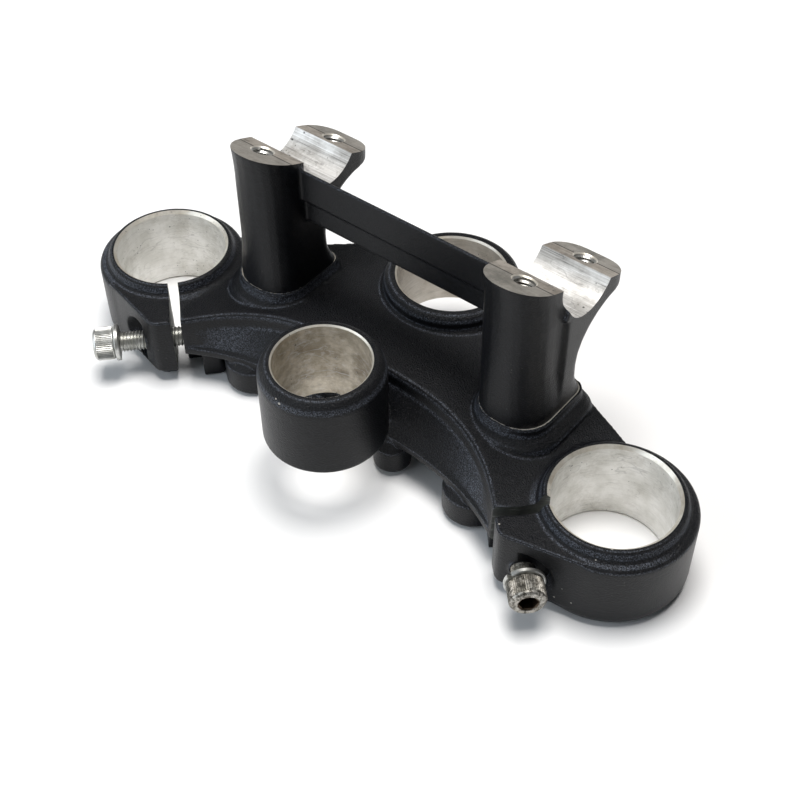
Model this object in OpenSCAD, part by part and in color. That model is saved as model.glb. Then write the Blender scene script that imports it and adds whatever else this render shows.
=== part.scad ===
// Motorcycle triple clamp: one casting grips both fork legs, holds two centre bosses and
// carries a bolted-on handlebar riser bridge.
// The origin lies midway between the fork bores, level with the top rims of the fork rings.
// X runs along the fork line, the pinch slits face -Y, and Z points up.

/* [Fork rings] */
// Distance between the axes of the two fork bores
fork_spacing = 208; // [200:1:220]
// Diameter of each fork bore
fork_bore = 43; // [41:0.5:45]
// Wall of each fork ring around its bore
ring_wall = 7.4; // [6.5:0.1:9]
// Height of each fork ring
ring_height = 35; // [34:0.5:42]
// Height of the raised collar round each fork bore
collar_height = 4.2; // [2:0.1:5]
// Chamfer at the rim of each fork bore
rim_chamfer = 1.2; // [0.5:0.1:1.6]

/* [Pinch lugs] */
// Turn of each slit from the fork line towards the front
slit_angle = 43.5; // [40:0.5:48]
// Width of each slit
slit_width = 4; // [2:0.5:5]
// How far each lug reaches from the fork axis
lug_reach = 40.6; // [39:0.1:42]
// Turn of the lug's outer wall from the slit
lug_taper = 30.6; // [28:0.2:34]
// Distance from the fork axis to the pinch bolt
pinch_reach = 32.1; // [31:0.1:33.5]
// Depth of the pinch bolt below the ring rims
pinch_depth = 19.4; // [18:0.1:21]
// Distance from the slit's middle to the seat that the bolt head pulls on
pinch_seat = 13.4; // [12:0.1:14]

/* [Pinch bolts] */
// Thread diameter of the pinch bolts
pinch_thread = 8; // [6:1:8]
// Length under the head of the pinch bolts
pinch_length = 30; // [28:1:34]
// How far the left bolt is backed out of its seat
left_backed_out = 11.6; // [3:0.1:14]
// How far the right bolt is backed out of its seat
right_backed_out = 6; // [3:0.1:14]

/* [Plate] */
// Height of the crowned top face at its middle, above the ring rims
crown_height = 2.5; // [1:0.1:3]
// Radius of the crowned top face, seen from the front
crown_radius = 420; // [400:10:600]
// Height of the plate's underside, below the ring rims
plate_depth = 21; // [20:0.5:22]
// Thickness of the front wall
wall = 6; // [5:0.5:7]

/* [Front boss] */
// Distance from the fork line forward to the front boss
front_offset = 27.3; // [26:0.1:29]
// Bore of the front boss
front_bore = 35; // [30:0.5:37]
// Outer diameter of the front boss
front_diameter = 45.6; // [44:0.2:47]
// Height of the front boss's rim, above the ring rims
front_top = 20.5; // [16:0.5:24]
// Height of the front boss from end to end
front_height = 34; // [28:0.5:38]

/* [Rear boss] */
// Distance from the fork line back to the rear boss
rear_offset = 47.6; // [46:0.1:49]
// Bore of the rear boss
rear_bore = 42; // [36:0.5:44]
// Outer diameter of the rear boss
rear_diameter = 54.4; // [53:0.2:56]
// Height of the rear boss's rim, above the ring rims
rear_top = 9.1; // [8:0.1:12]

/* [Risers] */
// Distance between the middles of the two riser posts
riser_spacing = 112.6; // [108:0.2:116]
// Width of each riser post
post_width = 27.6; // [27:0.2:30]
// Height of the pad tops that the posts stand on
pad_top = 5; // [4.6:0.1:6]
// Height of the handlebar's middle, above the ring rims
bar_height = 56.9; // [54:0.1:60]
// Distance from the fork line back to the handlebar's middle
bar_offset = 29.3; // [28.5:0.1:30]
// Diameter of the handlebar that the saddles take
handlebar = 28.6; // [22.2:0.1:28.6]
// Backward tilt of the faces that the handlebar caps close on
saddle_tilt = 22.7; // [20:0.1:24]
// How far those faces lie below the handlebar's middle
cap_gap = 3; // [2:0.1:4]
// Distance between the two cap bolt holes of a riser
cap_pitch = 41; // [39:0.2:42]
// Drilled diameter of the tapped cap bolt holes
cap_hole = 6.8; // [5:0.1:6.8]
// Depth of the tapped cap bolt holes
cap_hole_depth = 12; // [8:1:13]

/* [Riser bolts] */
// Thread diameter of the bolts that hold the risers from below
riser_thread = 10; // [8:1:10]
// Length under the head of the riser bolts
riser_bolt_length = 45; // [42:1:50]

/* [Hidden] */

$fn = 96;
eps = 0.01;
far_out = 200;

ring_r = fork_bore / 2 + ring_wall;
ring_x = fork_spacing / 2;
foot_round = 4;
front_r = front_diameter / 2;
rear_r = rear_diameter / 2;
front_bottom = front_top - front_height;

// The corner where each slit leaves the front of the plate
slit_corner = [ring_x - lug_reach * cos(slit_angle), -lug_reach * sin(slit_angle)];
lug_corner_r = 4.5;
lug_foot = 2.6;
lug_foot_chamfer = 1.8;
block_end = 16;
block_foot = 0.3;
notch_end = 8;
notch_top = 22;
clearance = 0.6;
head_room = 2.9;

// The front edge of the plate: flat behind the front boss, then falling to the slit corner
edge_flat = 14;
edge_front = 3;
skirt_front = 13.8;
edge_power = 2.7;
rim_height = 6;
lip_height = 4.4;
lip_out = 1.4;
// The rear edge of the plate: straight from each ring, then sweeping into the rear boss
edge_ring = [ring_x - 6.5, ring_r - 2.3];
edge_bend = [ring_x - 44, ring_r + 9.6];

pad_flare = 1.6;
pad_outer = 3.2;
post_x = riser_spacing / 2;
post_front = -1.2;
post_flare = 1.9;
flare_start = 48;
flare_end = 68;
narrow_start = 9;
narrow_end = 24;
front_corner_r = 12;
rear_corner_r = 5;
lug_end_r = 9.5;
waist_y = 27.6;
waist_z = 20.5;
lug_end_y = 55;
lug_under_z = 40;
post_foot = [[pad_top, waist_y + 4.4], [pad_top + 4, waist_y + 2], [pad_top + 9, waist_y + 0.3]];
step_side = 1.8;
step_top = 1;
step_front = 15;
bridge_front = 12.5;
bridge_step_z = 44.4;
bridge_step = 1.9;
bridge_bottom = 34;
bridge_drop = 2.2;
bridge_rear = 24;
handlebar_room = 1;
riser_bolt_y = 15.5;
riser_boss_r = 12;
riser_hole_room = 1;
washer_height = 2;
riser_washer_r = riser_thread;

boss_pair_r = 11.2;
boss_pair = [53.4, -9.6];
boss_pair_depth = 34.6;
small_boss_r = 7.2;
small_boss = [17.4, -11];
small_boss_depth = 34;
neck_in = 3.2;
pocket_top = 11;
rib = 5;

head_ratio = 1.625;
socket_ratio = 0.75;
spring_height = 2;
spring_gap = 1.2;

function unit(v) = v / norm(v);

// Height of the crowned top face at x
function crown(x) = crown_height - crown_radius + sqrt(pow(crown_radius, 2) - pow(x, 2));

// How far along its fall the front edge is at x, from 0 at the middle to 1 at the slit corner
function fall(x) = pow(max(0, abs(x) - edge_flat) / (slit_corner[0] - edge_flat), edge_power);
function edge_y(x) = -edge_front + (slit_corner[1] + edge_front) * fall(x);
function skirt_y(x) = -skirt_front + (slit_corner[1] + skirt_front) * fall(x);

// Replaces the corner b of the path a, b, c with an arc of radius r
function corner(a, b, c, r, steps = 6) =
    let (u = unit(a - b), v = unit(c - b), half = acos(u * v) / 2,
         centre = b + unit(u + v) * r / sin(half),
         start = b + u * r / tan(half) - centre,
         end = b + v * r / tan(half) - centre,
         from = atan2(start[1], start[0]),
         turn = atan2(start[0] * end[1] - start[1] * end[0], start * end))
    [for (i = [0:steps]) centre + r * [cos(from + turn * i / steps), sin(from + turn * i / steps)]];

function rounded(points, radii) = let (n = len(points)) [for (i = [0:n - 1])
    each (radii[i] == 0 ? [points[i]]
        : corner(points[(i + n - 1) % n], points[i], points[(i + 1) % n], radii[i]))];

// A solid skinned over rings of points that all have the same count
module skin(rings) {
    n = len(rings[0]);
    last = len(rings) - 1;
    sides = [for (k = [0:last - 1], i = [0:n - 1])
        each [[(k + 1) * n + (i + 1) % n, k * n + (i + 1) % n, k * n + i],
              [(k + 1) * n + i, (k + 1) * n + (i + 1) % n, k * n + i]]];
    ends = [[for (i = [0:n - 1]) i], [for (i = [n - 1:-1:0]) last * n + i]];
    polyhedron([for (ring = rings) each ring], concat(ends, sides), convexity = 8);
}

// Both sides of the clamp from the right-hand one
module both_sides() {
    for (side = [0, 1])
        mirror([side, 0, 0])
            children();
}

// The right fork ring's own frame: X runs out along the slit, Y towards the bolt head
module right_ring() {
    translate([ring_x, 0, 0])
        rotate(180 + slit_angle)
            children();
}

// The pinch bolt's frame on the right side: Z runs out towards the bolt head
module right_pinch() {
    right_ring()
        translate([pinch_reach, 0, -pinch_depth])
            rotate([-90, 0, 0])
                children();
}

// Clamp casting

module fork_ring() {
    inner = fork_bore / 2;
    rotate_extrude()
        polygon([[inner - eps, -ring_height], [ring_r - foot_round, -ring_height],
            [ring_r - foot_round / 3, -ring_height + foot_round / 3],
            [ring_r, -ring_height + foot_round], [ring_r, -collar_height - 1.4],
            [ring_r - 1.1, -collar_height - 0.2], [ring_r - 2.3, -collar_height],
            [ring_r - 3.6, 1 - collar_height], [ring_r - 4.4, -0.7], [ring_r - 5.1, 0],
            [inner - eps, 0]]);
}

module fork_bore_cut() {
    inner = fork_bore / 2;
    translate([0, 0, -ring_height - 1])
        cylinder(r = inner, h = ring_height + 2);
    translate([0, 0, -rim_chamfer])
        cylinder(r1 = inner, r2 = inner + 2 * rim_chamfer, h = 2 * rim_chamfer);
    translate([0, 0, -ring_height - rim_chamfer / 2])
        cylinder(r1 = inner + rim_chamfer, r2 = inner, h = rim_chamfer);
}

// The lug outside the slit: its outer wall leaves the ring almost at a tangent
module outer_lug() {
    tangent = 90 - lug_taper;
    wall_r = ring_r - 0.15;
    sharp = [lug_reach, (wall_r - lug_reach * cos(tangent)) / sin(tangent)];
    for (step = [[0, 2 * lug_foot, ring_height - collar_height - 2 * lug_foot],
        [lug_foot_chamfer, lug_foot, 2 * lug_foot]])
        translate([0, 0, step[1] - ring_height])
            linear_extrude(step[2])
                polygon(rounded([[0, 0], (wall_r - step[0] / 2) * [cos(tangent), sin(tangent)],
                    sharp - step[0] * [1, 1 / 2], [lug_reach - step[0], 0]],
                    [0, 0, lug_corner_r, 0]));
}

// The block inside the slit that takes the bolt's thread, its foot a little above the ring's
module inner_lug() {
    translate([0, 0, block_foot - ring_height])
        linear_extrude(ring_height - block_foot - collar_height - 0.6)
            polygon(rounded([[0, 0], [lug_reach - 0.2, 0], [lug_reach - 0.9, -block_end],
                [ring_r - 8, -block_end - 6]], [0, 0, 2, 0]));
}

// The slit, the relief under the inner lug, and the pinch bolt's seat and holes
module pinch_cuts() {
    translate([0, -slit_width / 2, -ring_height - 1])
        cube([lug_reach + 5, slit_width, ring_height + 2]);
    translate([ring_r + 0.8, -notch_end, -ring_height - 1])
        cube([lug_reach, notch_end, ring_height + 1 - notch_top]);
    translate([pinch_reach, 0, -pinch_depth])
        rotate([-90, 0, 0]) {
            cylinder(d = pinch_thread + clearance, h = pinch_seat + 1);
            translate([0, 0, pinch_seat])
                cylinder(r = pinch_thread * head_ratio / 2 + head_room, h = far_out / 4);
            translate([0, 0, slit_width / 2 - block_end])
                cylinder(d = pinch_thread, h = block_end);
        }
}

module plate_outline() {
    edge = [for (i = [0:20]) let (x = slit_corner[0] * i / 20) [x, edge_y(x) + 2]];
    polygon(concat(edge, [[ring_x, -ring_r / 3], edge_ring],
        corner(edge_ring, edge_bend, [rear_r - 1, rear_offset + 16], 26),
        [[rear_r - 2, rear_offset + 14], [0, rear_offset]]));
}

// The crowned plate, with the front wall that slopes out to a lip below a recessed panel
module plate() {
    steps = 36;
    intersection() {
        union() {
            translate([0, 0, -plate_depth])
                linear_extrude(plate_depth + crown_height + 3) {
                    plate_outline();
                    mirror([1, 0])
                        plate_outline();
                }
            skin([for (i = [0:steps])
                let (x = slit_corner[0] * (2 * i / steps - 1), top = crown(x),
                     y = edge_y(x), low = skirt_y(x))
                [[x, y + wall, top + 1], [x, y + 3.7, top + 1], [x, y + 0.4, top - 0.5],
                 [x, y, top - 1.8], [x, y - 0.4, top - rim_height],
                 [x, min(y - 0.8, low + lip_out), lip_height - plate_depth],
                 [x, min(y - 0.6, low + lip_out + 0.2), lip_height - plate_depth - 0.6],
                 [x, low, lip_height - plate_depth - 1], [x, low, -plate_depth - eps],
                 [x, low + wall + 3, -plate_depth - eps]]]);
        }
        // the crown
        translate([0, far_out, crown_height - crown_radius])
            rotate([90, 0, 0])
                cylinder(r = crown_radius, h = 2 * far_out, $fn = 360);
    }
}

// The hollows under the plate, one on each side
module pockets() {
    both_sides()
        translate([0, 0, -plate_depth - 1])
            linear_extrude(plate_depth + 1 - pocket_top)
                polygon(rounded([[22, 9], [44, 4], [60, -4], [ring_x - 26, -12],
                    [ring_x - 26, 21], [60, 31], [40, 36], [28, 26]],
                    [4, 6, 8, 4, 4, 8, 4, 3]));
}

module riser_bolt_boss() {
    translate([post_x, riser_bolt_y, -plate_depth])
        cylinder(r = riser_boss_r, h = plate_depth + crown(post_x + riser_boss_r));
    translate([post_x - rib / 2, -6, -plate_depth])
        cube([rib, 40, plate_depth - pocket_top + 1]);
    translate([24, riser_bolt_y - rib / 2, -plate_depth])
        cube([ring_x - 48, rib, plate_depth - pocket_top + 1]);
}

// The pad that a riser post stands on, widest on its outer side
module riser_pad() {
    for (step = [[0, pad_top], [pad_flare, crown(post_x) + 1.8]]) {
        grow = step[0];
        outer = grow > 0 ? pad_outer : 1;
        left = post_x - post_width / 2 - grow / 2 - 0.5;
        right = post_x + post_width / 2 + outer;
        front = post_front - grow - 0.6;
        rear = post_foot[0][1] + 1 + grow;
        translate([0, 0, -pocket_top])
            linear_extrude(pocket_top + step[1])
                polygon(rounded([[left, front], [right, front], [right, rear], [left, rear]],
                    [front_corner_r + grow, front_corner_r + grow,
                        rear_corner_r + grow, rear_corner_r + grow]));
    }
}

module front_boss() {
    translate([0, -front_offset, 0])
        rotate_extrude()
            polygon([[0, front_bottom], [front_r - 1.2, front_bottom],
                [front_r, front_bottom + 1.2], [front_r, front_top - 4.6],
                [front_r - 0.8, front_top - 2.6], [front_r - 2.4, front_top - 0.6],
                [front_r - 3.4, front_top], [0, front_top]]);
}

module rear_boss() {
    translate([0, rear_offset, 0])
        rotate_extrude()
            polygon([[0, -plate_depth - 1.5], [rear_r - 1.5, -plate_depth - 1.5],
                [rear_r, -plate_depth], [rear_r, crown_height],
                [rear_r - 1.1, crown_height + 1.2], [rear_r - 1.1, rear_top - 2.8],
                [rear_r - 1.8, rear_top - 1.2], [rear_r - 3.4, rear_top], [0, rear_top]]);
}

module round_bore(diameter, top, height, chamfer) {
    translate([0, 0, top - height - 1])
        cylinder(d = diameter, h = height + 2);
    translate([0, 0, top - chamfer])
        cylinder(d1 = diameter, d2 = diameter + 4 * chamfer, h = 2 * chamfer);
}

// A stub under the plate, chamfered at its lower end and drawn in where it meets the wall
module under_boss(place, r, depth) {
    neck = depth - plate_depth;
    translate([place[0], place[1], -depth])
        rotate_extrude()
            polygon([[0, 0], [r - 1.5, 0], [r, 1.5], [r, neck - 2], [r - neck_in, neck + 1],
                [r - neck_in, neck + 2], [0, neck + 2]]);
}

module clamp_casting() {
    color("#26262a")
        difference() {
            union() {
                difference() {
                    plate();
                    pockets();
                }
                both_sides() {
                    translate([ring_x, 0, 0])
                        fork_ring();
                    right_ring() {
                        outer_lug();
                        inner_lug();
                    }
                    riser_bolt_boss();
                    riser_pad();
                    under_boss(boss_pair, boss_pair_r, boss_pair_depth);
                    under_boss(small_boss, small_boss_r, small_boss_depth);
                }
                front_boss();
                rear_boss();
            }
            both_sides()
                translate([ring_x, 0, 0])
                    fork_bore_cut();
            both_sides()
                right_ring()
                    pinch_cuts();
            both_sides()
                translate([post_x, riser_bolt_y, -plate_depth - 1])
                    cylinder(d = riser_thread + riser_hole_room, h = plate_depth + pad_top + 2);
            translate([0, -front_offset, 0])
                round_bore(front_bore, front_top, front_height, 0.6);
            translate([0, rear_offset, 0])
                round_bore(rear_bore, rear_top, plate_depth + rear_top + 2, 0.7);
        }
}

// Riser bridge: two posts and a crossbar in one casting

// How much narrower the front of a post is than its saddle at one height, on its outer side
function narrow_at(z) = step_side * min(1, max(eps, (z - narrow_start) / (narrow_end - narrow_start)))
    + step_top * max(0, (z - flare_start) / (flare_end - flare_start));

// The outline of a post at one height
function post_ring(z, front, rear, rear_r) =
    let (x0 = post_x - post_width / 2, x1 = post_x + post_width / 2, x2 = x1 - narrow_at(z))
    [for (p = rounded([[x0, front], [x2, front], [x2, step_front], [x1, step_front + 2],
        [x1, rear], [x0, rear]], [front_corner_r, front_corner_r, 0, 0, rear_r, rear_r]))
        [p[0], p[1], z]];

function front_at(z) = post_front - post_flare * pow(max(0, z - flare_start)
    / (flare_end - flare_start), 2);

// The post sweeps back from its waist to carry the rear cap bolt
module post_body() {
    skin(concat(
        [for (p = post_foot) post_ring(p[0], post_front, p[1], rear_corner_r)],
        [for (t = [90:-15:0])
            let (z = waist_z + (lug_under_z - waist_z) * cos(t))
            post_ring(z, front_at(z), lug_end_y - (lug_end_y - waist_y) * sin(t),
                rear_corner_r + (lug_end_r - rear_corner_r) * (1 - sin(t)))],
        [for (z = [48, 53, 58, 63, 68, 73])
            post_ring(z, front_at(z), lug_end_y, lug_end_r)]));
}

// The frame of the cap faces: X along the handlebar, Z square out of the faces
module cap_frame() {
    translate([0, bar_offset, bar_height])
        rotate([-saddle_tilt, 0, 0])
            translate([0, 0, -cap_gap])
                children();
}

// The crossbar: a tall upper band over a lower band that is set back
module crossbar() {
    length = riser_spacing - post_width + 4;
    translate([-length / 2, 0, 0])
        rotate([90, 0, 90])
            linear_extrude(length)
                polygon([[bridge_front, bar_height + 8], [bridge_front, bridge_step_z + 0.8],
                    [bridge_front + 0.6, bridge_step_z], [bridge_front + bridge_step, bridge_step_z],
                    [bridge_front + bridge_step, bridge_bottom + 0.8],
                    [bridge_front + bridge_step + 0.8, bridge_bottom],
                    [bridge_rear - 2, bridge_bottom], [bridge_rear, bridge_bottom + 2],
                    [bridge_rear, bar_height + 8]]);
}

module riser_bridge() {
    color("#222226")
        difference() {
            union() {
                both_sides()
                    post_body();
                difference() {
                    crossbar();
                    translate([-riser_spacing / 2, bar_offset, bar_height])
                        rotate([0, 90, 0])
                            cylinder(d = handlebar + 2 * handlebar_room, h = riser_spacing);
                    cap_frame()
                        translate([-riser_spacing / 2, -far_out / 2, -bridge_drop])
                            cube([riser_spacing, far_out, far_out / 2]);
                }
            }
            // the faces that the handlebar caps close on
            cap_frame()
                translate([-far_out / 2, -far_out / 2, 0])
                    cube([far_out, far_out, far_out / 2]);
            both_sides() {
                translate([post_x - post_width, bar_offset, bar_height])
                    rotate([0, 90, 0])
                        cylinder(d = handlebar, h = 2 * post_width);
                for (end = [-1, 1])
                    cap_frame()
                        translate([post_x, end * cap_pitch / 2, -cap_hole_depth])
                            cylinder(d = cap_hole, h = cap_hole_depth + 1);
                translate([post_x, riser_bolt_y, pad_top - 1])
                    cylinder(d = riser_thread, h = riser_bolt_length - plate_depth - pad_top + 3);
            }
        }
}

// Fasteners

// A cap screw with its shank along -Z and the underside of its head at z = 0
module cap_screw(thread, length) {
    head = thread * head_ratio;
    difference() {
        union() {
            translate([0, 0, thread - 0.8])
                cylinder(d1 = head, d2 = head - 1.4, h = 0.8);
            cylinder(d = head, h = thread - 0.8);
            translate([0, 0, 1 - length])
                cylinder(d = thread, h = length - 1 + eps);
            translate([0, 0, -length])
                cylinder(d1 = thread - 2, d2 = thread, h = 1);
        }
        translate([0, 0, thread / 2])
            cylinder(d = thread * socket_ratio / cos(30), h = thread, $fn = 6);
    }
}

// A split spring washer, resting on z = 0
module spring_washer(thread) {
    difference() {
        cylinder(d = thread * 1.8, h = spring_height);
        translate([0, 0, -1])
            cylinder(d = thread, h = spring_height + 2);
        translate([0, -spring_gap / 2, -1])
            cube([thread * 2, spring_gap, spring_height + 2]);
    }
}

module pinch_bolt_right() {
    color("silver")
        right_pinch()
            translate([0, 0, pinch_seat + right_backed_out])
                cap_screw(pinch_thread, pinch_length);
}

module pinch_bolt_left() {
    color("silver")
        mirror([1, 0, 0])
            right_pinch()
                translate([0, 0, pinch_seat + left_backed_out])
                    cap_screw(pinch_thread, pinch_length);
}

module pinch_spring_washer_right() {
    color("lightgray")
        right_pinch()
            translate([0, 0, pinch_seat + right_backed_out - spring_height])
                rotate(200)
                    spring_washer(pinch_thread);
}

module pinch_spring_washer_left() {
    color("lightgray")
        mirror([1, 0, 0])
            right_pinch()
                translate([0, 0, pinch_seat + left_backed_out - spring_height])
                    rotate(60)
                        spring_washer(pinch_thread);
}

module riser_bolt() {
    color("dimgray")
        translate([post_x, riser_bolt_y, -plate_depth - washer_height])
            mirror([0, 0, 1])
                cap_screw(riser_thread, riser_bolt_length);
}

module riser_bolt_right() {
    riser_bolt();
}

module riser_bolt_left() {
    mirror([1, 0, 0])
        riser_bolt();
}

module riser_washer() {
    color("gray")
        translate([post_x, riser_bolt_y, -plate_depth - washer_height])
            difference() {
                cylinder(r = riser_washer_r, h = washer_height);
                translate([0, 0, -1])
                    cylinder(d = riser_thread, h = washer_height + 2);
            }
}

module riser_washer_right() {
    riser_washer();
}

module riser_washer_left() {
    mirror([1, 0, 0])
        riser_washer();
}

clamp_casting();
riser_bridge();
pinch_bolt_left();
pinch_bolt_right();
pinch_spring_washer_left();
pinch_spring_washer_right();
riser_bolt_left();
riser_bolt_right();
riser_washer_left();
riser_washer_right();
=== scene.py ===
# %% [markdown]
# # A motorcycle triple clamp, dressed for a studio picture
# The clamp is a cast plate that grips both fork legs. A second casting, the riser bridge, stands
# on it and carries the handlebar. Both castings are black, with bright metal where a tool has cut
# them. This lesson turns the plain CAD solids into castings with soft edges, cuts the machined
# faces crisply, and gives every surface its finish.
#
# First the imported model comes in. It is the fixed frame: every piece made below goes where it says.

# %% Load the frame
import bpy, bmesh, math
from mathutils import Matrix, Vector


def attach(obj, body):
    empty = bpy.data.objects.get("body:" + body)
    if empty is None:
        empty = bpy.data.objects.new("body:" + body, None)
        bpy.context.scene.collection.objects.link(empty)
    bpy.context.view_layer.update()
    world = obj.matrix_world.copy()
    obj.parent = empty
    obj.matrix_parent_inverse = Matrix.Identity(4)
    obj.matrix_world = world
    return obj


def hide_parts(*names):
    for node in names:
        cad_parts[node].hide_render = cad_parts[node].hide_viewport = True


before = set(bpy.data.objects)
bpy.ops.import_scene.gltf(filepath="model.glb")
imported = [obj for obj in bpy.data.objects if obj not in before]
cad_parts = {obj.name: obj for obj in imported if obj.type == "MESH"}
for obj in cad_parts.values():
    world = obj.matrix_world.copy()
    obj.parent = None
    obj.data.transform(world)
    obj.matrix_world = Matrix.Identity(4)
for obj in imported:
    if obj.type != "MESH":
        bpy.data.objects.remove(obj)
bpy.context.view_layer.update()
print("frame:", sorted(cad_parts))

# %% [markdown]
# ## The camera
# The picture was taken from the right of the clamp's front, from above. The place, the turn and
# the lens below were worked out from the ellipses that the round bores make in the picture, so
# the render lines up with it. The picture is square, so half of the sensor is half of its width.

# %% Camera
MM = 0.001
camera_data = bpy.data.cameras.new("camera")
camera_data.sensor_width = 36.0
camera_data.lens = 36.0 * 1356.16 / 800
camera_data.clip_start = 0.01
camera = bpy.data.objects.new("camera", camera_data)
bpy.context.scene.collection.objects.link(camera)
camera.matrix_world = (Matrix.Translation((0.22923, -0.26822, 0.34760))
                       @ Matrix(((0.78226, -0.44684, 0.43405),
                                 (0.62291, 0.56885, -0.53702),
                                 (-0.00695, 0.69046, 0.72333))).to_4x4())
bpy.context.scene.camera = camera
print("lens", round(camera_data.lens, 1), "mm")

# %% [markdown]
# ## Finishes
# Each finish is a small tree of nodes. They all read Object coordinates, so a pattern stays on
# its piece. The sizes of the patterns are in metres: a noise scale of 1000 is one cell for each
# millimetre. A helper adds a node and links what is given to its sockets, so that a tree reads
# from its colour to its surface.

# %% A helper for node trees
class Tree:
    """A material's nodes: add() makes one and links or sets its inputs by name or number."""
    def __init__(self, name):
        self.material = bpy.data.materials.new(name)
        self.material.use_nodes = True
        self.nodes = self.material.node_tree.nodes
        self.links = self.material.node_tree.links
        self.nodes.clear()
        self.surface = self.nodes.new("ShaderNodeBsdfPrincipled")
        output = self.nodes.new("ShaderNodeOutputMaterial")
        self.links.new(self.surface.outputs[0], output.inputs[0])
        self.place = self.nodes.new("ShaderNodeTexCoord").outputs["Object"]

    def feed(self, node, inputs):
        for key, value in inputs.items():
            if isinstance(value, bpy.types.NodeSocket):
                self.links.new(value, node.inputs[key])
            else:
                node.inputs[key].default_value = value
        return node

    def add(self, kind, inputs=None, **settings):
        node = self.nodes.new("ShaderNode" + kind)
        for key, value in settings.items():
            setattr(node, key, value)
        return self.feed(node, inputs or {})

    def noise(self, scale, detail=3.0, roughness=0.55, vector=None):
        return self.add("TexNoise", {"Vector": vector or self.place, "Scale": scale, "Detail": detail,
                                     "Roughness": roughness}).outputs["Fac"]

    def stretched(self, size):
        return self.add("Mapping", {"Vector": self.place, "Scale": size}).outputs[0]

    def steps(self, value, low, high, start=0.0, end=1.0):
        return self.add("MapRange", {"Value": value, "From Min": low, "From Max": high,
                                     "To Min": start, "To Max": end}, clamp=True).outputs[0]

    def maths(self, kind, a, b=0.0):
        return self.add("Math", {0: a, 1: b}, operation=kind).outputs[0]

    def blend(self, share, a, b):
        return self.add("Mix", {0: share, 6: a, 7: b}, data_type="RGBA").outputs[2]

    def bump(self, height, strength, distance, normal=None):
        inputs = {"Height": height, "Strength": strength, "Distance": distance}
        if normal is not None:
            inputs["Normal"] = normal
        return self.add("Bump", inputs).outputs[0]

    def finish(self, **inputs):
        self.feed(self.surface, {key.replace("_", " "): value for key, value in inputs.items()})
        return self.material


def grey(value):
    return (value, value, value, 1.0)


print("finish helper ready")

# %% [markdown]
# ### Black powder coat
# Powder coat is paint that is baked on. It is black and satin, with a fine grain like leather
# where the powder lay thick, on faces that look up, and it is finer and flatter on upright walls.
# The bump's height is therefore scaled by how far the surface looks up. Dust lies on it as small
# pale specks, and a few knocks have chipped it down to the metal. Each chip is a ragged spot
# round a given place: the noise that is added to the distance makes its edge uneven.
#
# In the picture the grain glints on two kinds of slope: on the rounded ridges that lean a little
# to the front, and on steep banks such as the front panel. The lights of this scene bring out
# little of that, so the glints are painted: the grain is given a lighter colour where the surface
# slopes so. They stay in place when the light is moved, which true highlights would not.

# %% Powder coat
def powder_coat(name, chips=()):
    t = Tree(name)
    facing = t.add("SeparateXYZ", {0: t.add("NewGeometry").outputs["Normal"]}).outputs
    up = facing["Z"]
    flat = t.steps(up, 0.02, 0.45, 0.30, 1.0)
    fine = t.noise(2400, 3.0, 0.75)
    leather = t.add("TexVoronoi", {"Vector": t.place, "Scale": 1900.0},
                    feature="SMOOTH_F1").outputs["Distance"]
    height = t.maths("MULTIPLY", t.maths("ADD", t.maths("MULTIPLY", fine, 0.8), leather), flat)
    normal = t.bump(height, 1.0, 0.00030)
    normal = t.bump(t.noise(120, 2.0), 0.3, 0.0002, normal)
    wide = t.noise(60, 3.0)
    grain = t.steps(fine, 0.46, 0.68)
    colour = t.blend(wide, (0.0016, 0.0017, 0.0023, 1), (0.0027, 0.0029, 0.0038, 1))
    # Painted highlight: the grain is lightened to a pale blue-grey on ridges that lean a little to the front
    # and on steep banks. The mask reads the world direction of the surface. Elsewhere the grain gets only a
    # faint touch of the lighter colour.
    ridge = t.maths("MULTIPLY", t.steps(up, 0.80, 0.92), t.steps(up, 0.995, 0.96))
    ridge = t.maths("MULTIPLY", ridge, t.steps(facing["Y"], -0.05, -0.22))
    bank = t.maths("MULTIPLY", t.steps(up, 0.10, 0.30), t.steps(up, 0.58, 0.44))
    slope = t.maths("MAXIMUM", ridge, t.maths("MULTIPLY", bank, 0.9))
    grain_and_painted_glint = t.maths("MULTIPLY", grain, t.maths("ADD", slope, 0.08))
    colour = t.blend(grain_and_painted_glint, colour, (0.125, 0.140, 0.172, 1))
    speck = t.add("TexVoronoi", {"Vector": t.place, "Scale": 420.0, "Randomness": 1.0}).outputs["Distance"]
    dust = t.maths("MULTIPLY", t.steps(speck, 0.085, 0.05), t.steps(t.noise(55, 2.0), 0.55, 0.62))
    colour = t.blend(t.maths("MULTIPLY", dust, 0.55), colour, (0.17, 0.165, 0.15, 1))
    rough = t.add("MapRange", {"Value": t.maths("ADD", wide, grain), "From Max": 2.0,
                               "To Min": 0.30, "To Max": 0.46}).outputs[0]
    for place, size in chips:
        away = t.add("VectorMath", {0: t.place, 1: [v * MM for v in place]},
                     operation="DISTANCE").outputs["Value"]
        edge = t.maths("ADD", away, t.maths("MULTIPLY", t.noise(1300, 4.0), size * 1.3 * MM))
        bare = t.steps(edge, size * 1.2 * MM, size * 1.05 * MM)
        colour = t.blend(bare, colour, (0.38, 0.36, 0.33, 1))
    return t.finish(Base_Color=colour, Roughness=rough, Normal=normal, Specular_IOR_Level=0.20)


# %% [markdown]
# ### Bare aluminium
# Each tool has left its own surface. The fork bores are bored and bright, with cloudy stains. The
# front boss is tarnished brown and scratched in loops, where the bearing has been prised out. The
# cap faces are milled, and the saddles are bright with fine lines where the bar has sat. One recipe
# serves them all: a base colour with clouds and stains, tool marks stretched along one direction,
# thin loops, which are the contour lines of a soft noise, and dark pits.

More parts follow.
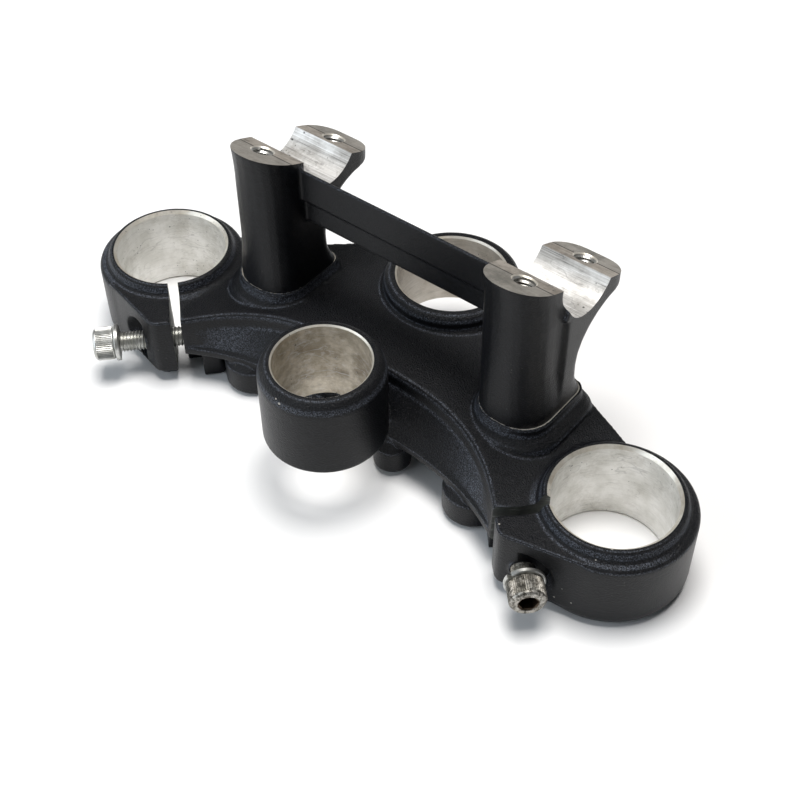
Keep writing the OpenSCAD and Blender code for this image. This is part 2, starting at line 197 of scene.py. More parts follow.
# %% Bare metal
def bare_metal(name, light, dark, stain, marks, rough, streak=0.2, loops=(0.0, 0.05), pits=0.7,
               metallic=0.75, lines=None):
    t = Tree(name)
    cloud = t.steps(t.noise(110, 6.0, 0.68), 0.38, 0.62)
    colour = t.blend(cloud, light, dark)
    patch = t.steps(t.noise(42, 7.0, 0.75), 0.50, 0.66)
    colour = t.blend(t.maths("MULTIPLY", patch, 0.8), colour, stain)
    mark = t.noise(1.0, 3.0, 0.6, vector=t.stretched(marks))
    colour = t.blend(t.maths("MULTIPLY", t.steps(mark, 0.55, 0.75), streak), colour, grey(0.04))
    colour = t.blend(t.maths("MULTIPLY", t.steps(mark, 0.45, 0.28), streak), colour, grey(0.9))
    share, tone = loops
    for scale, where in ((95, 60), (210, 85)):
        soft = t.noise(scale, 2.5, 0.5, vector=t.stretched((0.55, 0.55, 1.7)))
        contour = t.steps(t.maths("ABSOLUTE", t.maths("SUBTRACT", soft, 0.5)), 0.012, 0.003)
        shown = t.maths("MULTIPLY", contour, t.steps(t.noise(where, 2.0), 0.45, 0.60))
        colour = t.blend(t.maths("MULTIPLY", shown, share), colour, grey(tone))
    for scale, size in ((170, 0.085), (430, 0.12)):
        near = t.add("TexVoronoi", {"Vector": t.place, "Scale": float(scale)}).outputs["Distance"]
        pit = t.maths("MULTIPLY", t.steps(near, size, size * 0.6), t.steps(t.noise(75, 2.0), 0.50, 0.58))
        colour = t.blend(t.maths("MULTIPLY", pit, pits), colour, grey(0.015))
    if lines is not None:
        colour = lines(t, colour)
    gloss = t.add("MapRange", {"Value": t.maths("ADD", mark, cloud), "From Max": 2.0,
                               "To Min": rough - 0.1, "To Max": rough + 0.16}).outputs[0]
    normal = t.bump(t.maths("ADD", mark, t.noise(900, 4.0)), 0.5, 0.00008)
    return t.finish(Base_Color=colour, Metallic=metallic, Roughness=gloss, Normal=normal)


# %% [markdown]
# The cap faces carry one more mark: a thin dark line along the handlebar, through the middle of
# each hole, with slightly greener metal on its outer side. Its place follows from how far a point
# lies from the handlebar along the leaning face.

# %% Scribed lines on the cap faces
LEAN, BAR_Y, BAR_Z, CAP_PITCH = 22.7, 29.3, 56.9, 41.0   # the faces' lean, the handlebar, its caps' bolts


def scribed(t, colour):
    lean = math.radians(LEAN)
    part = t.add("SeparateXYZ", {0: t.place}).outputs
    along = t.maths("SUBTRACT", t.maths("MULTIPLY", part["Y"], math.cos(lean)),
                    t.maths("MULTIPLY", part["Z"], math.sin(lean)))
    middle = (BAR_Y * math.cos(lean) - BAR_Z * math.sin(lean)) * MM
    out = t.maths("SUBTRACT", t.maths("ABSOLUTE", t.maths("SUBTRACT", along, middle)), CAP_PITCH / 2 * MM)
    outer = t.steps(out, 0.0, 0.3 * MM)
    colour = t.blend(t.maths("MULTIPLY", outer, 0.3), colour, (0.24, 0.25, 0.24, 1))
    line = t.steps(t.maths("ABSOLUTE", out), 0.42 * MM, 0.2 * MM)
    return t.blend(t.maths("MULTIPLY", line, 0.95), colour, grey(0.006))


# %% The finishes of the castings, in the order of their slots
ROUND = (130, 130, 1500)
ALONG = (45, 1900, 1900)
CHIPS = [((0.2, -49.5, 17.3), 0.9), ((-1.6, -49.0, 18.2), 0.7), ((102.0, -29.9, -26.5), 0.6),
         ((104.3, -29.4, -20.5), 0.4), ((107.9, -28.6, -26.2), 0.5), ((115.1, -19.8, 0.0), 0.8),
         ((79.0, -31.1, -4.2), 0.6), ((112.3, -24.3, -3.5), 0.4)]
FINISHES = [
    powder_coat("powder_coat", CHIPS),
    bare_metal("bored_fork_bore", (0.84, 0.83, 0.80, 1), (0.70, 0.69, 0.65, 1), (0.52, 0.50, 0.45, 1),
               ROUND, 0.44, streak=0.15, loops=(0.25, 0.15), metallic=0.45),
    bare_metal("stained_boss_bore", (0.64, 0.58, 0.48, 1), (0.40, 0.35, 0.27, 1), (0.22, 0.175, 0.12, 1),
               (300, 300, 500), 0.44, streak=0.3, loops=(0.6, 0.62), metallic=0.5),
    bare_metal("sawn_slit", (0.13, 0.14, 0.13, 1), (0.08, 0.085, 0.08, 1), (0.04, 0.04, 0.035, 1),
               ROUND, 0.5),
    bare_metal("milled_cap_face", (0.46, 0.415, 0.36, 1), (0.27, 0.24, 0.205, 1), (0.13, 0.115, 0.085, 1),
               ALONG, 0.46, streak=0.3, loops=(0.4, 0.05), metallic=0.55, lines=scribed),
    bare_metal("worn_saddle", (0.62, 0.61, 0.59, 1), (0.40, 0.39, 0.37, 1), (0.22, 0.205, 0.18, 1),
               ALONG, 0.48, streak=0.75, loops=(0.3, 0.05), pits=0.9, metallic=0.6),
    bare_metal("rear_bore", (0.66, 0.62, 0.56, 1), (0.55, 0.51, 0.45, 1), (0.44, 0.40, 0.34, 1),
               ROUND, 0.42, loops=(0.3, 0.2), metallic=0.5),
    bare_metal("chamfered_rim", (0.78, 0.75, 0.68, 1), (0.62, 0.58, 0.50, 1), (0.44, 0.38, 0.29, 1),
               ROUND, 0.34, metallic=0.6),
    bare_metal("tapped_hole", (0.50, 0.50, 0.48, 1), (0.34, 0.33, 0.31, 1), (0.20, 0.18, 0.15, 1),
               ROUND, 0.32),
]
COAT, BORED, STAINED, SAWN, MILLED, SADDLE, REAR, RIM, TAPPED = range(len(FINISHES))
print("finishes:", [m.name for m in FINISHES])

# %% [markdown]
# ## From CAD solid to casting
# A casting has no sharp edges: the wax or the mould rounds them, and the corners inside fill up.
# A bevel tool would have to find every edge, also where two round forms melt together. A voxel
# remesh needs no edges at all. It fills the solid with small cells and wraps one even skin round
# them, and a little smoothing then rounds each edge and each corner by about a millimetre.
# Machined faces must stay crisp, so they are covered before the remesh, by plugs in the holes and
# by skins pulled out of the flat faces, and they are cut afresh afterwards. A cutter carries the
# finish of the face that it leaves.

# %% Places and sizes, in millimetres as in the CAD source
def shift(x, y, z):
    return Matrix.Translation((x * MM, y * MM, z * MM))


def turn(degrees, axis):
    return Matrix.Rotation(math.radians(degrees), 4, axis)


FORK_X, FORK_R, RING_R, RING_LOW, COLLAR = 104.0, 21.5, 28.9, -35.0, -4.2
SLIT_ANGLE, REACH = 43.5, 40.6
FRONT_BOSS = shift(0, -27.3, 0)
REAR_BOSS = shift(0, 47.6, 0)
PAD_TOP, POST_X, POST_W, BAR_R = 5.0, 56.3, 27.6, 14.3
CAP_PLANE, SPARE = 60.79946, 1.5   # the cap faces' height along their normal, and the metal to mill off
PINCH_REACH, PINCH_DEPTH, PINCH_SEAT = 32.1, 19.4, 13.4
RIGHT_FORK = shift(FORK_X, 0, 0)
RIGHT_SLIT = RIGHT_FORK @ turn(180 + SLIT_ANGLE, "Z")   # X runs out along the slit
# Z runs out to the bolt's head
RIGHT_PINCH = RIGHT_SLIT @ shift(PINCH_REACH, 0, -PINCH_DEPTH) @ turn(-90, "X")
CAP = shift(0, BAR_Y, BAR_Z) @ turn(-LEAN, "X") @ shift(0, 0, -3)   # Z stands square on the cap faces
CAP_NORMAL = CAP.to_3x3() @ Vector((0, 0, 1))
print("the forks are", 2 * FORK_X, "mm apart; the cap faces lean", LEAN, "degrees")


# %% Helpers for solid meshes
def link(name, mesh):
    piece = bpy.data.objects.new(name, mesh)
    bpy.context.scene.collection.objects.link(piece)
    return piece


def turned(steps, at=Matrix(), segments=128, slots=0):
    """A closed solid of revolution. The steps are (radius, height) in mm, from the axis to the axis."""
    bm = bmesh.new()
    spin = [(math.cos(2 * math.pi * k / segments), math.sin(2 * math.pi * k / segments))
            for k in range(segments)]
    rings = [[bm.verts.new((0, 0, h * MM))] if r == 0
             else [bm.verts.new((r * c * MM, r * s * MM, h * MM)) for c, s in spin] for r, h in steps]
    for step, (low, high) in enumerate(zip(rings, rings[1:])):
        for k in range(segments):
            n = (k + 1) % segments
            corners = [low[k % len(low)], low[n % len(low)], high[n % len(high)], high[k % len(high)]]
            face = bm.faces.new(list(dict.fromkeys(corners)))
            face.material_index = slots if isinstance(slots, int) else slots[step]
    bmesh.ops.recalc_face_normals(bm, faces=bm.faces)
    bm.transform(at)
    return bm


def block(low, high, at=Matrix(), slot=0):
    """A closed box between two corners in mm."""
    bm = bmesh.new()
    bmesh.ops.create_cube(bm, size=1.0)
    low, high = Vector(low) * MM, Vector(high) * MM
    for v in bm.verts:
        v.co = Vector([v.co[i] * (high - low)[i] for i in range(3)]) + (low + high) / 2
    for face in bm.faces:
        face.material_index = slot
    bm.transform(at)
    return bm


def mirrored(make, *values, **named):
    """Two of a solid: on the right, and mirrored on the left."""
    right, left = make(*values, **named), make(*values, **named)
    bmesh.ops.scale(left, vec=(-1, 1, 1), verts=left.verts)
    bmesh.ops.reverse_faces(left, faces=left.faces)
    return [right, left]


def joined(parts, name):
    """One mesh from several solids, with the castings' finishes as its slots."""
    mesh = bpy.data.meshes.new(name)
    whole = bmesh.new()
    for part in parts:
        part.to_mesh(mesh)
        whole.from_mesh(mesh)
        part.free()
    whole.to_mesh(mesh)
    whole.free()
    for finish in FINISHES:
        mesh.materials.append(finish)
    return mesh


def cad_copy(node):
    """A closed copy of a CAD node: its loose triangles are merged first."""
    bm = bmesh.new()
    bm.from_mesh(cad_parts[node].data)
    bmesh.ops.remove_doubles(bm, verts=bm.verts, dist=2e-7)
    for face in bm.faces:
        face.material_index = COAT
    return bm


def pulled_out(bm, normal, height, by):
    """Pulls the flat faces on one plane out along its normal, so that the plane can be cut afresh."""
    faces = [f for f in bm.faces if f.normal.dot(normal) > 0.9999
             and abs(f.calc_center_median().dot(normal) - height * MM) < 2e-5]
    new = bmesh.ops.extrude_face_region(bm, geom=faces)["geom"]
    bmesh.ops.delete(bm, geom=faces, context="FACES_ONLY")
    moved = [v for v in new if isinstance(v, bmesh.types.BMVert)]
    bmesh.ops.translate(bm, verts=moved, vec=normal * by * MM)
    print("pulled out", len(faces), "faces")
    return bm


# %% Helpers for remeshing and cutting
def applied(piece):
    """The piece's mesh with its modifiers applied."""
    graph = bpy.context.evaluated_depsgraph_get()
    mesh = bpy.data.meshes.new_from_object(piece.evaluated_get(graph))
    piece.modifiers.clear()
    piece.data = mesh
    return piece


def cast(piece, cell, rounds, triangles):
    """Wraps an even skin round the piece, smooths it, and thins it to a number of triangles."""
    skin = piece.modifiers.new("skin", "REMESH")
    skin.mode, skin.voxel_size = "VOXEL", cell * MM
    applied(piece)
    count = 2 * len(piece.data.polygons)
    smooth = piece.modifiers.new("smooth", "SMOOTH")
    smooth.factor, smooth.iterations = 0.5, rounds
    thin = piece.modifiers.new("thin", "DECIMATE")
    thin.ratio = min(1.0, triangles / count)
    applied(piece)
    print(piece.name, "skin of", count, "triangles, thinned to about", triangles)
    return piece


def cut(piece, parts, solver="MANIFOLD"):
    """Takes the cutters out of the piece. Each new face gets its cutter's finish."""
    tool = link("cutter", joined(parts, "cutter"))
    boolean = piece.modifiers.new("cut", "BOOLEAN")
    boolean.operation, boolean.object, boolean.solver = "DIFFERENCE", tool, solver
    applied(piece)
    bpy.data.objects.remove(tool)
    return piece


def shaded(piece, coat_angle=62, tool_angle=28):
    """Smooth shading that stays crisp where a tool has cut."""
    bm = bmesh.new()
    bm.from_mesh(piece.data)
    for face in bm.faces:
        face.smooth = True
    for edge in bm.edges:
        slots = [f.material_index for f in edge.link_faces]
        limit = coat_angle if max(slots) == 0 else tool_angle
        edge.smooth = len(set(slots)) == 1 and edge.calc_face_angle(0) < math.radians(limit)
    bm.to_mesh(piece.data)
    bm.free()
    return piece


print("casting helpers ready")

# %% [markdown]
# ## The clamp casting
# The plugs are a filled copy of each fork ring, which closes its bore and its slit, wedges that
# close the slits between the lugs, and a plug in each boss and pinch hole. A fillet is lofted
# round each pad, through the post's outline grown wider from the top down. After the remesh the
# tools follow in the order of the real work: the bores and the pads first, then the saw that
# opens the slits, then the drill and the spot-facer of the pinch bolts. The pad's cutter is only
# a little wider than the post, so a thin bare line is left round the post's foot.

# %% Plug the clamp's holes
def ring_plug():
    return turned([(0, RING_LOW), (RING_R - 4, RING_LOW), (RING_R - 1.35, RING_LOW + 1.33),
                   (RING_R - 0.02, RING_LOW + 4), (RING_R - 0.02, COLLAR - 1.4), (RING_R - 1.1, COLLAR - 0.2),
                   (RING_R - 2.3, COLLAR), (RING_R - 3.6, COLLAR + 1), (RING_R - 4.4, -0.7),
                   (RING_R - 5.1, 0), (0, 0)], RIGHT_FORK)


def slit_plugs():
    return [*mirrored(block, (20, -2.3, -29.8), (29.9, 2.3, COLLAR - 0.4), RIGHT_SLIT),
            *mirrored(block, (29.6, -2.3, -21.8), (REACH - 0.4, 2.3, COLLAR - 0.9), RIGHT_SLIT),
            *mirrored(block, (28, 0.6, -29.6), (REACH - 0.4, 2.3, -21), RIGHT_SLIT)]


def post_outline(grow, height):
    """A post's outline on its pad, grown outwards: a rectangle with wide corners at the front."""
    points = []
    for cx, cy, r, start in ((POST_X + 1.8, 10.8, 12, -90), (POST_X + 8.8, 27, 5, 0),
                             (POST_X - 8.8, 27, 5, 90), (POST_X - 1.8, 10.8, 12, 180)):
        for k in range(13):
            angle = math.radians(start + 90 * k / 12)
            x, y = cx + (r + grow) * math.cos(angle), cy + (r + grow) * math.sin(angle)
            over = max(0.0, 0.3025 * x + 0.9532 * y - 54.2)   # stays behind the plate's rear edge
            points.append(((x - 0.3025 * over) * MM, (y - 0.9532 * over) * MM, height * MM))
    return points


def lofted(rings, slot=COAT):
    """A closed solid through rings of points, from the lowest to the highest."""
    bm = bmesh.new()
    loops = [[bm.verts.new(p) for p in ring] for ring in rings]
    for low, high in zip(loops, loops[1:]):
        for k in range(len(low)):
            n = (k + 1) % len(low)
            bm.faces.new((low[k], low[n], high[n], high[k]))
    bm.faces.new(loops[0][::-1])
    bm.faces.new(loops[-1])
    for face in bm.faces:
        face.material_index = slot
    return bm


PAD_FILLET = [(5.6, -3), (4.6, -1.1), (3.4, -0.5), (2.3, 0.4), (1.5, 1.5), (0.9, 3.0), (0.55, 4.8)]
plugs = [*mirrored(lofted, [post_outline(grow, height) for grow, height in PAD_FILLET]),
         *mirrored(ring_plug), *slit_plugs(),
         *mirrored(turned, [(0, -14.3), (4.6, -14.3), (4.6, 13.2), (0, 13.2)], RIGHT_PINCH, 48),
         turned([(0, -13.5), (18, -13.5), (18, 20.5), (0, 20.5)], FRONT_BOSS),
         turned([(0, -22.5), (21.6, -22.5), (21.6, 9.1), (0, 9.1)], REAR_BOSS)]
clamp = link("clamp", joined([cad_copy("clamp_casting"), *plugs], "clamp"))
cast(clamp, cell=0.55, rounds=9, triangles=165000)

# %% Machine the clamp
def fork_bore():
    return turned([(0, -36.6), (FORK_R + 2.2, -36.6), (FORK_R, -34.4), (FORK_R, -1.2), (FORK_R + 2.4, 1.2),
                   (0, 1.2)], RIGHT_FORK, slots=[BORED, RIM, BORED, RIM, BORED])


cut(clamp, [*mirrored(fork_bore),
            turned([(0, -14.5), (17.5, -14.5), (17.5, 19.9), (19.1, 21.5), (0, 21.5)], FRONT_BOSS,
                   slots=[STAINED, STAINED, RIM, STAINED]),
            turned([(0, -24), (21, -24), (21, 8.4), (23.2, 10.6), (0, 10.6)], REAR_BOSS,
                   slots=[REAR, REAR, RIM, REAR]),
            *mirrored(lofted, [post_outline(0.35, height) for height in (PAD_TOP - 0.04, 12)], RIM)])
cut(clamp, mirrored(block, (19, -2, -36), (46, 2, 1), RIGHT_SLIT, SAWN))
PINCH_DRILL = [(0, -14), (4, -14), (4, 0), (4.3, 0), (4.3, 13.3), (9.6, 13.3), (9.6, 40), (0, 40)]
cut(clamp, mirrored(turned, PINCH_DRILL, RIGHT_PINCH, 64, [SAWN] * 4 + [COAT] * 3))
shaded(clamp)
print("clamp:", len(clamp.data.polygons), "faces")

# %% [markdown]
# ## The risers
# The riser bridge is cast in one piece and coated. Then its feet are milled flat, its cap faces
# are milled at their lean, and the saddles are bored through both posts at once. The cap holes
# are drilled, countersunk and tapped. The drill here has the thread's full width, because the
# thread's ridges go in later as a piece of their own.

# %% Cast and machine the risers
def saddle_plugs():
    inner = POST_X - POST_W / 2
    return [*mirrored(block, (inner, -14.3, -11.7), (67.1, 14.3, 1.3), CAP),
            *mirrored(block, (66.8, -9.8, -11.7), (inner + POST_W, 14.3, 1.3), CAP)]


def cap_holes(depths, profile_of, slots=0):
    parts = []
    for end, depth in zip((-1, 1), depths):
        at = CAP @ shift(POST_X, end * CAP_PITCH / 2, 0)
        parts += mirrored(turned, profile_of(depth), at, 64, slots)
    return parts


def cap_plug(depth):
    return [(0, -depth), (4.6, -depth), (4.6, 1.2), (0, 1.2)]


def cap_drill(depth):
    return [(0, -depth), (4, -depth), (4, -0.5), (5.2, 0.7), (0, 0.7)]


blank = pulled_out(cad_copy("riser_bridge"), CAP_NORMAL, CAP_PLANE, SPARE)
blank = pulled_out(blank, Vector((0, 0, -1)), -PAD_TOP, SPARE)
plugs = saddle_plugs() + cap_holes((12.3, 4.5), cap_plug)
risers = link("risers", joined([blank, *plugs], "risers"))
cast(risers, cell=0.5, rounds=14, triangles=120000)
cut(risers, [block((-76, -45, 0), (76, 45, 12), CAP, MILLED),
             *mirrored(block, (36, -8, 0), (78, 38, PAD_TOP), slot=MILLED)])
cut(risers, mirrored(turned, [(0, -20), (BAR_R, -20), (BAR_R, 20), (0, 20)],
                     shift(POST_X, BAR_Y, BAR_Z) @ turn(90, "Y"), 192, SADDLE))
cut(risers, cap_holes((12, 12), cap_drill, [TAPPED, TAPPED, RIM, TAPPED]))
shaded(risers)
print("risers:", len(risers.data.polygons), "faces")

# %% [markdown]
# ## Screws, and the thread in the cap holes
# A cap screw has a plain form that is turned, a hexagon socket, and two things that repeat: the
# ridges of its knurled head, and the turns of its thread. Those follow a rule, so Geometry Nodes
# make them. A spiral carries a small four-sided profile, whose outer corner is the crest of the
# thread, and a four-sided bar is set on each point of a circle with a corner outwards. The same
# tree without a head makes the thread inside a tapped hole: there the corner that points inwards
# is the crest.

# %% Steel finishes
def steel(name, light, dark, rough, dirt=None):
    """Plated steel. Where dirt names a place, grime fills the piece and brown dirt lies round it."""
    t = Tree(name)
    cloud = t.steps(t.noise(260, 4.0, 0.6), 0.38, 0.64)
    colour = t.blend(cloud, light, dark)
    if dirt is not None:
        grime = t.steps(t.noise(620, 6.0, 0.85), 0.46, 0.56)
        colour = t.blend(t.maths("MULTIPLY", grime, 0.9), colour, (0.05, 0.045, 0.035, 1))
        away = t.add("VectorMath", {0: t.place, 1: Vector(dirt)}, operation="DISTANCE").outputs["Value"]
        edge = t.maths("ADD", away, t.maths("MULTIPLY", t.noise(900, 4.0), 0.0016))
        colour = t.blend(t.steps(edge, 5.3 * MM, 4.7 * MM), colour, (0.085, 0.06, 0.04, 1))
    gloss = t.add("MapRange", {"Value": t.noise(500, 3.0), "To Min": rough - 0.1,
                               "To Max": rough + 0.15}).outputs[0]
    normal = t.bump(t.noise(1800, 3.0), 0.25, 0.00005)
    return t.finish(Base_Color=colour, Metallic=0.9, Roughness=gloss, Normal=normal)


# %% The tree for threads and knurls
def screw_tree():
    tree = bpy.data.node_groups.new("thread_and_knurls", "GeometryNodeTree")
    tree.interface.new_socket("Geometry", in_out="OUTPUT", socket_type="NodeSocketGeometry")
    tree.interface.new_socket("Bare screw", in_out="INPUT", socket_type="NodeSocketGeometry")
    for name, value in (("Thread radius", 0.0034), ("Thread depth", 0.0006), ("Pitch", 0.00125),
                        ("Turns", 20.0), ("Thread start", 0.0), ("Head radius", 0.0062),
                        ("Knurl height", 0.006), ("Knurl depth", 0.0003)):
        tree.interface.new_socket(name, in_out="INPUT", socket_type="NodeSocketFloat").default_value = value
    tree.interface.new_socket("Knurls", in_out="INPUT", socket_type="NodeSocketInt").default_value = 0
    tree.interface.new_socket("Finish", in_out="INPUT", socket_type="NodeSocketMaterial")
    given = tree.nodes.new("NodeGroupInput").outputs

    def add(kind, inputs=None, **settings):
        node = tree.nodes.new(kind)
        for key, value in settings.items():
            setattr(node, key, value)
        for key, value in (inputs or {}).items():
            if isinstance(value, bpy.types.NodeSocket):
                tree.links.new(value, node.inputs[key])
            else:
                node.inputs[key].default_value = value
        return node.outputs

    height = add("ShaderNodeMath", {0: given["Pitch"], 1: given["Turns"]}, operation="MULTIPLY")[0]
    spiral = add("GeometryNodeCurveSpiral", {"Resolution": 40, "Rotations": given["Turns"],
                                             "Start Radius": given["Thread radius"],
                                             "End Radius": given["Thread radius"], "Height": height})[0]
    spiral = add("GeometryNodeSetCurveNormal", {"Curve": spiral}, mode="Z_UP")[0]
    ridge = add("GeometryNodeCurvePrimitiveCircle", {"Resolution": 4, "Radius": given["Thread depth"]},
                mode="RADIUS")[0]
    thread = add("GeometryNodeCurveToMesh", {"Curve": spiral, "Profile Curve": ridge, "Fill Caps": True})[0]
    start = add("ShaderNodeCombineXYZ", {"Z": given["Thread start"]})[0]
    thread = add("GeometryNodeTransform", {"Geometry": thread, "Translation": start})[0]
    points = add("GeometryNodeMeshCircle", {"Vertices": given["Knurls"], "Radius": given["Head radius"]})[0]
    bar = add("GeometryNodeMeshCylinder", {"Vertices": 4, "Radius": given["Knurl depth"],
                                           "Depth": given["Knurl height"]})[0]
    outwards = add("FunctionNodeAlignRotationToVector", {"Vector": add("GeometryNodeInputPosition")[0]},
                   axis="X")[0]
    knurls = add("GeometryNodeInstanceOnPoints", {"Points": points, "Instance": bar, "Rotation": outwards})[0]
    middle = add("ShaderNodeMath", {0: given["Knurl height"], 1: 0.5}, operation="MULTIPLY")[0]
    lift = add("ShaderNodeCombineXYZ", {"Z": add("ShaderNodeMath", {0: middle, 1: 0.0006})[0]})[0]
    knurls = add("GeometryNodeTransform", {"Geometry": knurls, "Translation": lift})[0]
    join = tree.nodes.new("GeometryNodeJoinGeometry")
    for part in (knurls, thread, given["Bare screw"]):
        tree.links.new(part, join.inputs[0])
    whole = add("GeometryNodeRealizeInstances", {0: join.outputs[0]})[0]
    whole = add("GeometryNodeSetMaterial", {"Geometry": whole, "Material": given["Finish"]})[0]
    tree.links.new(whole, tree.nodes.new("NodeGroupOutput").inputs[0])
    return tree


SCREW_TREE = screw_tree()


def dressed(piece, **values):
    """Runs the tree on a piece and keeps the result as a plain mesh."""
    modifier = piece.modifiers.new("thread", "NODES")
    modifier.node_group = SCREW_TREE
    for socket in SCREW_TREE.interface.items_tree:
        if socket.in_out == "INPUT" and socket.name.replace(" ", "_") in values:
            modifier[socket.identifier] = values[socket.name.replace(" ", "_")]
    return applied(piece)


print("tree with", len(SCREW_TREE.nodes), "nodes")

# %% [markdown]
# ### The screws
# The pinch bolts pull the lugs together on the fork legs. In the picture both are backed out, so
# a part of their thread shows. The two screws of the risers come up from below, and only their
# heads show. All four have the same form at two sizes, so one function makes them: the shank is
# turned to the thread's core, and the socket is cut with a six-sided cutter.

# %% Make the screws
def screw(name, thread, length, pitch, at, finish, knurls):
    """A cap screw: the underside of its head at height 0, its shank along -Z, moved to its place."""
    head, core = thread * 1.625 / 2, thread / 2 - 0.613 * pitch * 0.98
    neck, socket = thread / 2 - 0.15, thread * 0.433
    steps = [(0, -length), (core - 0.6, -length), (core, 0.7 - length), (core, -1.6), (neck, -1.2),
             (neck, 0), (head - 0.7, 0), (head - 0.3, 0.4), (head - 0.3, thread - 1.0),
             (head - 0.5, thread - 0.6), (head - 1.1, thread - 0.1), (head - 1.4, thread),
             (socket + 0.25, thread), (socket - 0.1, thread - 0.5), (0, thread - 0.5)]
    hexagon = [(0, thread / 2), (socket, thread / 2), (socket, thread + 1), (0, thread + 1)]
    piece = link(name, joined([turned(steps, segments=96)], name))
    cut(piece, [turned(hexagon, segments=6)], solver="EXACT")
    piece.data.materials.clear()
    turns = (length - 2.6) / pitch
    dressed(piece, Thread_radius=core * MM, Thread_depth=0.6 * pitch * MM, Pitch=pitch * MM, Turns=turns,
            Thread_start=(0.9 - length) * MM, Head_radius=(head - 0.32) * MM, Knurl_height=(thread - 1.9) * MM,
            Knurl_depth=0.3 * MM, Knurls=knurls, Finish=finish)
    piece.data.transform(at)
    piece.data.shade_flat()
    return piece


def upright(at):
    """The same place on the left, turned and not mirrored, so that a thread keeps its hand."""
    flip = Matrix.Diagonal((-1, 1, 1, 1))
    return flip @ at @ flip


BACKED_OUT_RIGHT, BACKED_OUT_LEFT = 6.0, 11.6
PINCH_R = RIGHT_PINCH @ shift(0, 0, PINCH_SEAT + BACKED_OUT_RIGHT)
PINCH_L = upright(RIGHT_PINCH @ shift(0, 0, PINCH_SEAT + BACKED_OUT_LEFT))
SOCKET_R = PINCH_R @ Vector((0, 0, 6.0 * MM))
zinc = steel("bright_zinc", (0.60, 0.60, 0.58, 1), (0.40, 0.40, 0.37, 1), 0.36)
worn_zinc = steel("dirty_zinc", (0.50, 0.48, 0.44, 1), (0.30, 0.28, 0.24, 1), 0.42, dirt=SOCKET_R)
dark_steel = steel("dark_steel", (0.10, 0.10, 0.10, 1), (0.05, 0.05, 0.05, 1), 0.4)
screw_right = screw("pinch_screw_right", 8, 30, 1.25, PINCH_R, worn_zinc, 54)
screw_left = screw("pinch_screw_left", 8, 30, 1.25, PINCH_L, zinc, 54)
RISER_SCREW = shift(POST_X, 15.5, -23) @ turn(180, "X")
riser_screws = [screw("riser_screw_right", 10, 45, 1.5, RISER_SCREW, dark_steel, 60),
                screw("riser_screw_left", 10, 45, 1.5, upright(RISER_SCREW), dark_steel, 60)]
print("screw:", len(screw_right.data.polygons), "faces")

# %% Thread in the cap holes
tapped_threads = []
for side, label in ((1, "right"), (-1, "left")):
    for end, turns in ((-1, 8.6), (1, 5.0)):
        row = "front" if end < 0 else "rear"
        hole = link(f"tapped_thread_{label}_{row}", bpy.data.meshes.new("tapped_thread"))
        dressed(hole, Thread_radius=4.02 * MM, Thread_depth=0.62 * MM, Pitch=1.25 * MM, Turns=turns,
                Thread_start=(-0.9 - turns * 1.25) * MM, Knurls=0, Finish=FINISHES[TAPPED])
        hole.data.transform(CAP @ shift(side * POST_X, end * CAP_PITCH / 2, 0))
        hole.data.shade_flat()
        tapped_threads.append(hole)
print("threads:", [len(h.data.polygons) for h in tapped_threads])

# %% [markdown]
# ### Spring washers
# A spring washer is a square wire that is bent round once, with its ends a little out of line.
# The mesh follows that: a section with small chamfers is swept round, rises as it goes, and is
# closed at both ends.

# %% Make the spring washers
def spring_washer(name, at, finish):
    inner, outer, thick, rise, gap, steps = 4.15, 7.15, 1.7, 0.28, 16.0, 72
    section = [(inner, 0.2), (inner + 0.2, 0), (outer - 0.3, 0), (outer, 0.3), (outer, thick - 0.3),
               (outer - 0.3, thick), (inner + 0.2, thick), (inner, thick - 0.2)]
    bm = bmesh.new()
    rings = []
    for k in range(steps + 1):
        angle = math.radians(gap / 2 + (360 - gap) * k / steps)
        rings.append([bm.verts.new((r * math.cos(angle) * MM, r * math.sin(angle) * MM,
                                    (h + rise * k / steps) * MM)) for r, h in section])
    for a, b in zip(rings, rings[1:]):
        for i in range(len(section)):
            n = (i + 1) % len(section)
            bm.faces.new((a[i], a[n], b[n], b[i]))
    bm.faces.new(rings[0][::-1])
    bm.faces.new(rings[-1])
    bmesh.ops.recalc_face_normals(bm, faces=bm.faces)
    bm.transform(at)
    mesh = bpy.data.meshes.new(name)
    bm.to_mesh(mesh)
    mesh.materials.append(finish)
    mesh.shade_smooth()
    mesh.set_sharp_from_angle(angle=math.radians(25))
    return link(name, mesh)


washer_right = spring_washer("spring_washer_right", PINCH_R @ shift(0, 0, -2) @ turn(320, "Z"), zinc)
washer_left = spring_washer("spring_washer_left", PINCH_L @ shift(0, 0, -2) @ turn(120, "Z"), zinc)
print("spring washer:", len(washer_right.data.polygons), "faces")

# %% [markdown]
# ## What each piece stands for
# Each new piece rides on the only body and replaces its CAD node. The washers of the riser
# screws keep their CAD shape and get the dark steel. The thread ridges replace nothing, because
# the CAD holes are plain.

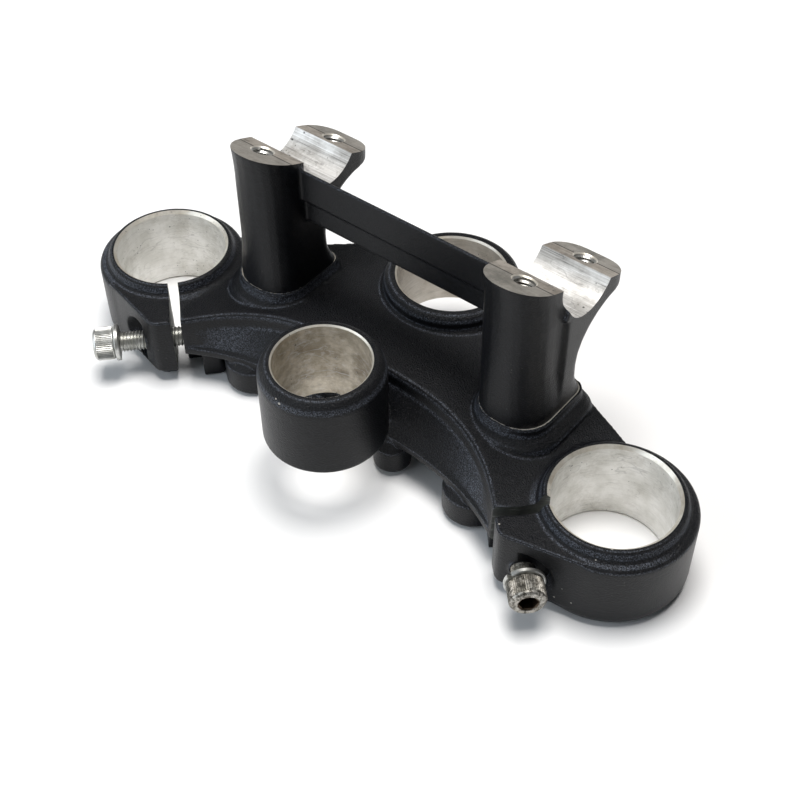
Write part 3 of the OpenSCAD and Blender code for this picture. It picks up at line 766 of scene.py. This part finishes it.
# %% Tie the pieces to the frame
for piece, node in ((clamp, "clamp_casting"), (risers, "riser_bridge"), (screw_right, "pinch_bolt_right"),
                    (screw_left, "pinch_bolt_left"), (riser_screws[0], "riser_bolt_right"),
                    (riser_screws[1], "riser_bolt_left"), (washer_right, "pinch_spring_washer_right"),
                    (washer_left, "pinch_spring_washer_left")):
    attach(piece, "root")
    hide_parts(node)
for piece in tapped_threads:
    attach(piece, "root")
for node in ("riser_washer_left", "riser_washer_right"):
    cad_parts[node].material_slots[0].material = dark_steel
print("pieces tied")

# %% [markdown]
# ## The studio
# The part lies on a white table under a soft light that hangs nearly straight above. A weaker and
# cooler one stands at the front left like a window. The room behind is dim, so flat tops that
# mirror it stay nearly black, while upright walls mirror the white table and look grey.

# %% Table, light and room
table_mesh = bpy.data.meshes.new("table")
TABLE, TABLE_TOP = 5, -0.0351   # half the table's side and its height, in metres
corners = [(x * TABLE, y * TABLE, TABLE_TOP) for x, y in ((-1, -1), (1, -1), (1, 1), (-1, 1))]
table_mesh.from_pydata(corners, [], [(0, 1, 2, 3)])
table = link("table", table_mesh)
t = Tree("white_table")
table_mesh.materials.append(t.finish(Base_Color=(0.86, 0.86, 0.86, 1), Roughness=0.8))

def area_light(name, size, energy, colour, place, aim):
    """A soft square light that looks at a point."""
    light = bpy.data.lights.new(name, "AREA")
    light.shape, light.size, light.energy, light.color = "SQUARE", size, energy, colour
    holder = bpy.data.objects.new(name, light)
    holder.location = place
    holder.rotation_euler = (Vector(aim) - Vector(place)).to_track_quat("-Z", "Y").to_euler()
    bpy.context.scene.collection.objects.link(holder)


area_light("softbox", 0.75, 29.0, (1.0, 0.98, 0.96), (-0.04, 0.12, 1.5), (0, 0, 0))
area_light("window", 1.9, 24.0, (0.84, 0.92, 1.0), (-1.0, -1.35, 0.8), (0, 0, 0))

room = bpy.data.worlds.new("room")
room.use_nodes = True
room.node_tree.nodes["Background"].inputs["Color"].default_value = (0.9, 0.95, 1.0, 1)
room.node_tree.nodes["Background"].inputs["Strength"].default_value = 0.08
bpy.context.scene.world = room
bpy.context.scene.view_settings.view_transform = "Standard"
